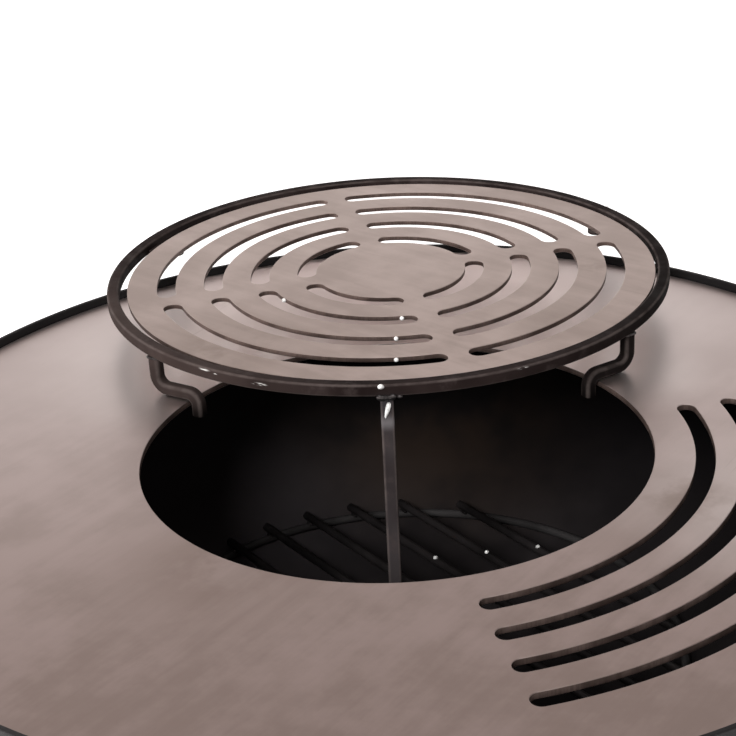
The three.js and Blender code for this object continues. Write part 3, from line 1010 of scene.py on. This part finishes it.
def build_fire_grate(sooty, painted_light_hoop, dark_weld, painted_glint_weld):
    bm = new_mesh()
    round_section = [(*p, 0.0) for p in circle(FIRE_ROD / 2, 20)]
    profile = [(FIRE_RING_RADIUS + u, FIRE_RING_Z + v, w) for u, v, w in round_section]
    turn_profile(bm, profile, 200)
    make_piece("grate_hoop", bm, "fire_grate", [painted_light_hoop], ["fire_grate_ring"])

    angle = math.radians(FIRE_BAR_ANGLE)
    along = polar(angle, 1, 0)
    across = polar(angle + math.pi / 2, 1, 0)
    rod_z = FIRE_RING_Z + FIRE_ROD + SEAM
    welds = new_mesh()
    for i in range(FIRE_BARS):
        offset = rod_offset(i)
        chord = math.sqrt(FIRE_RING_RADIUS**2 - offset**2)
        half = chord + FIRE_BAR_OVERHANG
        middle = across * offset + Vector((0, 0, rod_z))
        path = [middle + along * (half - 0.8) * share for share in (-1, -0.6, -0.2, 0.2, 0.6, 1)]
        bm = new_mesh()
        sweep(bm, path, round_section, across, chamfer=0.8)
        name = f"{i + 1:02d}"
        make_piece(f"grate_rod_{name}", bm, "fire_grate", [sooty], [f"fire_grate_bar_{name}"])
        for end in (-1, 1):
            crossing = across * offset + along * chord * end + Vector((0, 0, FIRE_RING_Z + FIRE_ROD / 2))
            for side in (-1, 1):
                start = crossing + across * side * 2.4 - along * 4 * end
                finish = crossing + across * side * 2.4 + along * 4 * end
                bead(welds, [start, finish], 1.5, pitch=2.4)
    make_piece("grate_welds", welds, "fire_grate", [dark_weld])

    bm = new_mesh()
    for rod, place in ROD_GLINT_DROPS:
        offset = rod_offset(rod)
        spot = across * offset + along * place + Vector((0, -1, rod_z + FIRE_ROD / 2 * 0.9))
        drop(bm, spot, (1.9, 1.9, 1.7))
    make_piece("grate_glint_drops", bm, "fire_grate", [painted_glint_weld])


# ---------------------------------------------------------------- stage, light and camera


def build_stage(material):
    bm = bmesh.new()
    bmesh.ops.create_grid(bm, x_segments=8, y_segments=8, size=FLOOR_REACH)
    mesh = bpy.data.meshes.new("floor")
    bm.to_mesh(mesh)
    bm.free()
    mesh.materials.append(material)
    floor = bpy.data.objects.new("floor", mesh)
    floor.location.z = -0.0005
    bpy.context.scene.collection.objects.link(floor)


def add_light(name, place, target, size, energy, mirrored=True):
    data = bpy.data.lights.new(name, "AREA")
    data.shape = "DISK"
    data.size = size
    data.energy = energy
    lamp = bpy.data.objects.new(name, data)
    lamp.location = place
    direction = Vector(target) - Vector(place)
    lamp.rotation_euler = direction.to_track_quat("-Z", "Y").to_euler()
    lamp.visible_glossy = mirrored
    bpy.context.scene.collection.objects.link(lamp)


# Colour of the studio by height: the sine of the elevation, and red, green and blue.
SKY = (
    (0.0, (1.55, 1.51, 1.49)),
    (0.14, (1.50, 1.46, 1.44)),
    (0.27, (1.24, 1.19, 1.17)),
    (0.38, (0.92, 0.87, 0.85)),
    (0.51, (0.50, 0.43, 0.41)),
    (0.70, (0.26, 0.22, 0.21)),
    (1.0, (0.26, 0.23, 0.22)),
)
# Brightness of the studio from left to right: x of the direction, and a share.
SKY_SIDES = ((-1.0, 1.3), (-0.3, 1.0), (0.25, 1.0), (0.65, 0.35), (1.0, 0.35))
# The sides' shares fade in between these heights, so the horizon has one brightness all round.
SIDES_FROM, SIDES_TO = 0.02, 0.12


def add_ramp(tree, value, stops):
    """A colour ramp node with the given (position, colour) stops."""
    node = tree.nodes.new("ShaderNodeValToRGB")
    elements = node.color_ramp.elements
    while len(elements) < len(stops):
        elements.new(0.5)
    for element, (position, colour) in zip(elements, stops):
        element.position = position
        element.color = (*colour, 1)
    tree.links.new(value, node.inputs[0])
    return node.outputs[0]


def build_light():
    world = bpy.data.worlds.new("studio")
    bpy.context.scene.world = world
    world.use_nodes = True
    tree = world.node_tree
    background = tree.nodes["Background"]
    place = tree.nodes.new("ShaderNodeTexCoord").outputs["Generated"]
    split = tree.nodes.new("ShaderNodeSeparateXYZ")
    tree.links.new(place, split.inputs[0])
    height_ramp = add_ramp(tree, split.outputs["Z"], SKY)
    half = tree.nodes.new("ShaderNodeMath")
    half.operation = "MULTIPLY_ADD"
    half.inputs[1].default_value = 0.5
    half.inputs[2].default_value = 0.5
    tree.links.new(split.outputs["X"], half.inputs[0])
    sides = [((x + 1) / 2, (share, share, share)) for x, share in SKY_SIDES]
    side_ramp = add_ramp(tree, half.outputs[0], sides)
    raised = tree.nodes.new("ShaderNodeMapRange")
    raised.inputs["From Min"].default_value = SIDES_FROM
    raised.inputs["From Max"].default_value = SIDES_TO
    tree.links.new(split.outputs["Z"], raised.inputs["Value"])
    shade = tree.nodes.new("ShaderNodeMix")
    shade.data_type = "RGBA"
    shade.inputs[6].default_value = (1, 1, 1, 1)
    tree.links.new(raised.outputs[0], shade.inputs[0])
    tree.links.new(side_ramp, shade.inputs[7])
    product = tree.nodes.new("ShaderNodeVectorMath")
    product.operation = "MULTIPLY"
    tree.links.new(height_ramp, product.inputs[0])
    tree.links.new(shade.outputs[2], product.inputs[1])
    tree.links.new(product.outputs[0], background.inputs["Color"])
    background.inputs["Strength"].default_value = 1.0
    add_light("overhead", (0, -0.6, 5.2), (0, 0, 0), 4.0, 55)
    add_light("front_fill", (-1.2, -2.6, 2.7), (0, 0, 0.7), 1.4, 175, mirrored=False)
    add_light("side_key", (-3.0, -0.4, 2.2), (0, 0, 0.75), 1.0, 30, mirrored=False)


def build_camera():
    """Stands in front of the pit, above it, a little turned about its own axis."""
    focal_length = 84.25272
    shift = (-0.031114, 0.042120)
    place = (0, -1.1258, 1.3312)
    roll = -0.0502
    forward = Vector((-0.0018, 0.9011, -0.4337)).normalized()
    right = Vector((1, 0.002, 0)).normalized()
    up = right.cross(forward)
    across = right * math.cos(roll) + up * math.sin(roll)
    upright = up * math.cos(roll) - right * math.sin(roll)
    data = bpy.data.cameras.new("camera")
    data.sensor_width = 36
    data.lens = focal_length
    data.shift_x, data.shift_y = shift
    data.clip_start = 0.05
    data.clip_end = 200
    camera = bpy.data.objects.new("camera", data)
    turn = Matrix((across, upright, -forward)).transposed().to_4x4()
    camera.matrix_world = Matrix.Translation(place) @ turn
    bpy.context.scene.collection.objects.link(camera)
    bpy.context.scene.camera = camera


def main():
    bpy.context.scene.view_settings.view_transform = "Standard"
    build_camera()
    build_light()
    build_stage(pale_floor("floor_pale"))

    hole_stains = [
        ((195, -98, PLATE_TOP), 60, 0.6),
        ((150, -150, PLATE_TOP), 45, 0.3),
        ((-120, -160, PLATE_TOP), 110, 0.5),
    ]
    disc_stains = [
        ((-125, 105, DISC_TOP), 95, 0.7),
        ((135, 125, DISC_TOP), 60, 0.5),
        ((175, 235, DISC_TOP), 80, 0.6),
        ((-60, 420, DISC_TOP), 70, 0.4),
        ((-190, 290, DISC_TOP), 60, 0.4),
    ]
    # Painted light on the plate: lighter patches under the disc, beside the legs and at the front right.
    painted_light_patches = [
        ((-150, 190, PLATE_TOP), 190, 0.75),
        ((150, 215, PLATE_TOP), 170, 0.6),
        ((250, -110, PLATE_TOP), 150, 0.55),
        ((190, 105, PLATE_TOP), 80, 0.7),
        ((-190, 105, PLATE_TOP), 70, 0.4),
    ]
    plate_face = sheet_steel(
        "plate_face",
        (0.53, 0.43, 0.405),
        (0.41, 0.325, 0.295),
        (0.24, 0.17, 0.13),
        # Painted light: the plate's colour towards the back, at share 0.9.
        (0.80, 0.715, 0.70),
        0.9,
        53,
        hole_stains,
        (0, 0, 0),
        painted_light_patches,
    )
    disc_face = sheet_steel(
        "disc_face",
        (0.58, 0.475, 0.435),
        (0.355, 0.275, 0.240),
        (0.22, 0.16, 0.125),
        (0.54, 0.45, 0.415),
        0.6,
        -42,
        disc_stains,
        (3.1, 1.7, 0),
    )
    # Painted light: the disc's underside is much lighter than its top, for the light the plate throws up
    # under it.
    lit_disc_underside = sheet_steel(
        "lit_disc_underside",
        (0.88, 0.80, 0.78),
        (0.74, 0.66, 0.63),
        (0.30, 0.22, 0.18),
        (0.88, 0.80, 0.78),
        0.5,
        -42,
        [],
        (7.3, 4.1, 0),
    )
    edge = cut_edge("cut_edge")
    steel = bar_steel("bar_steel", (0.0080, 0.0051, 0.0048), (0.0185, 0.0127, 0.0119))
    leg_steel = bar_steel("leg_steel", (0.0060, 0.0046, 0.0044), (0.0130, 0.0100, 0.0096), 0.9)
    # Painted light: the post gets a lighter copy of the bar steel, for the light that falls on it.
    lit_post_steel = bar_steel("lit_post_steel", (0.017, 0.0135, 0.0138), (0.030, 0.0255, 0.0262))
    sooty = sooty_steel("sooty_steel", (0.009, 0.008, 0.008), (0.024, 0.021, 0.021))
    # Painted light: the hoop gets a lighter copy of the rods' steel, for the highlight along its top.
    painted_light_hoop = sooty_steel("hoop_steel_painted_light", (0.022, 0.0205, 0.0205), (0.046, 0.043, 0.043))
    paint = black_paint("black_paint")
    inside = black_paint("bowl_paint", (0.0088, 0.0076, 0.0078), 0.75, 0.9, 0.04)
    dark_weld = weld_steel("dark_weld", (0.13, 0.12, 0.12))
    # Painted glint: the drops' near-white colour stands for lamps glinting on them.
    painted_glint_weld = weld_steel("painted_glint_weld", (0.95, 0.94, 0.92), 0.35)

    build_pedestal(paint)
    build_bowl(paint, inside)
    build_socket(sooty, dark_weld)
    build_plate(plate_face, edge)
    build_disc(disc_face, edge, lit_disc_underside, painted_glint_weld)
    build_ring(steel)
    build_legs(leg_steel)
    build_post(lit_post_steel)
    build_tabs(steel)
    build_riser_welds(dark_weld, painted_glint_weld)
    build_fire_grate(sooty, painted_light_hoop, dark_weld, painted_glint_weld)


main()
